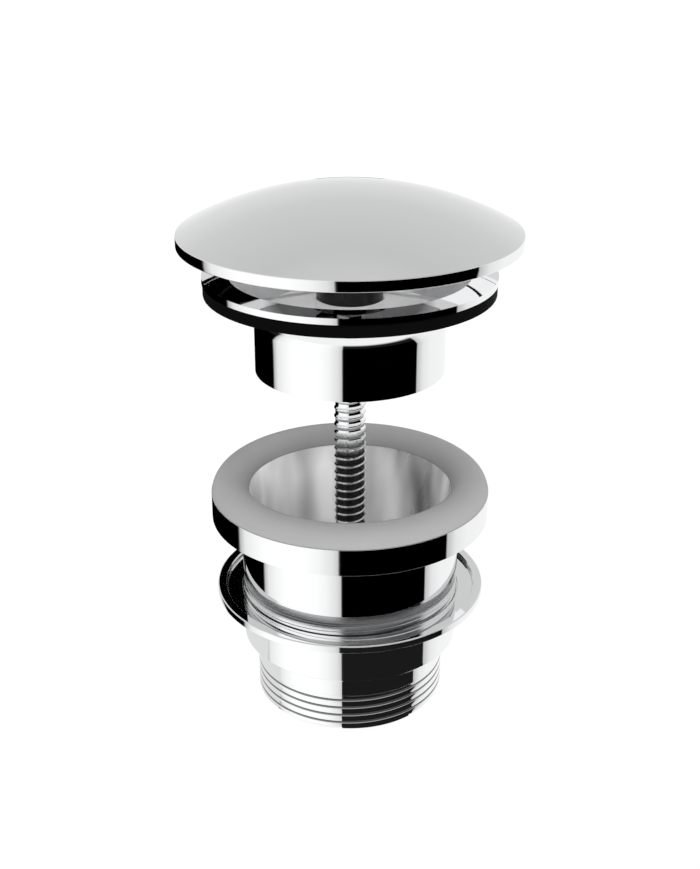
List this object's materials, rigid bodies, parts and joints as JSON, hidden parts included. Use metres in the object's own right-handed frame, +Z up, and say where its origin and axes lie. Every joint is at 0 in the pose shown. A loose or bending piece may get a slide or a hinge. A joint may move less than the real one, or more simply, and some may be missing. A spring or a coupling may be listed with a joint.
{
  "type": "basin waste",
  "caption": "Push-to-close basin waste with a domed cap, a raised strainer flange on a long clamp screw, and an under-basin body with a lock nut and a threaded tail.",
  "frame": {"origin": "centre of the tail's lower end", "axes": "+Z up along the waste's axis, towards the cap; the strainer's two ribs lie along X"},
  "size_m": [0.0706, 0.0706, 0.116],
  "materials": {
    "chrome": "polished",
    "brass": "turned",
    "steel": "bright",
    "black_rubber": "matte",
    "grey_rubber": "matte"
  },
  "bodies": {
    "lower_body": {"waste_body": "chrome", "bridge_bush": "brass", "body_gasket": "grey_rubber", "tail_washer": "black_rubber", "tail_piece": "chrome"},
    "strainer": {"strainer_flange": "chrome", "flange_seal": "black_rubber", "cartridge_barrel": "brass", "cartridge_oring": "black_rubber", "latch_pin": "steel", "spring_seat": "brass", "return_spring": "steel"},
    "cap": {"cap_dome": "chrome", "cap_insert": "chrome", "cap_bush": "brass", "cap_gasket": "black_rubber", "plunger": "chrome"},
    "screw": {"clamp_screw": "chrome", "screw_washer": "steel"},
    "nut_washer": {"slip_washer": "steel"},
    "nut": {"lock_nut": "chrome"}
  },
  "joints": [
    {"name": "strainer_clamp", "type": "slide", "parent": "lower_body", "child": "strainer", "axis": [0, 0, 1], "range_m": [-0.027, 0]},
    {"name": "screw_turn", "type": "hinge", "parent": "strainer", "child": "screw", "pos_m": [0, 0, 0.06], "axis": [0, 0, 1], "range_deg": [-5116, 0]},
    {"name": "cap_push", "type": "slide", "parent": "strainer", "child": "cap", "axis": [0, 0, 1], "range_m": [-0.0064, 0], "stiffness_N_per_m": 600, "springref_m": 0.004, "deforming": ["return_spring"]},
    {"name": "nut_climb", "type": "slide", "parent": "lower_body", "child": "nut_washer", "axis": [0, 0, 1], "range_m": [0, 0.0035]},
    {"name": "nut_turn", "type": "hinge", "parent": "nut_washer", "child": "nut", "pos_m": [0, 0, 0.0252], "axis": [0, 0, 1], "range_deg": [0, 546]}
  ],
  "couplings": [
    {"joint": "screw_turn", "follows": "strainer_clamp", "rad_per_m": 3306.9},
    {"joint": "nut_turn", "follows": "nut_climb", "rad_per_m": 2721.2}
  ]
}
